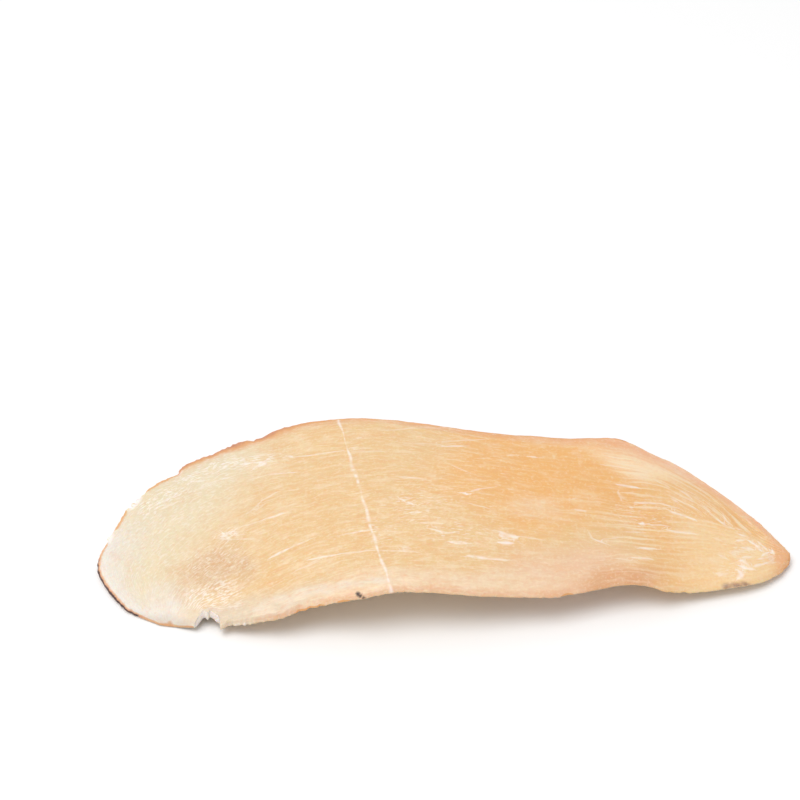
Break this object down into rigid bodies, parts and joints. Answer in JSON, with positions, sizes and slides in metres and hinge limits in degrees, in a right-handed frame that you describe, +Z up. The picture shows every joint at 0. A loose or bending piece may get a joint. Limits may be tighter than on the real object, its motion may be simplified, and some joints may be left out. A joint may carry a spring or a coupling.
{
  "type": "dried gastrodia slice",
  "caption": "Thin lengthwise slice of a dried gastrodia tuber: horny cream flesh, brown skin along the edge, a low arch with waved margins, lying flat.",
  "frame": {"origin": "middle of the slice's box in plan, on the table that it lies on", "axes": "+X along the slice from the torn stem scar to the snapped tip, +Y from the waved near edge to the far edge, +Z up from the table"},
  "size_m": [0.1188, 0.0484, 0.0104],
  "materials": {
    "dried_flesh": "satin"
  },
  "bodies": {
    "root": {"gastrodia_slice": "dried_flesh"}
  },
  "joints": []
}
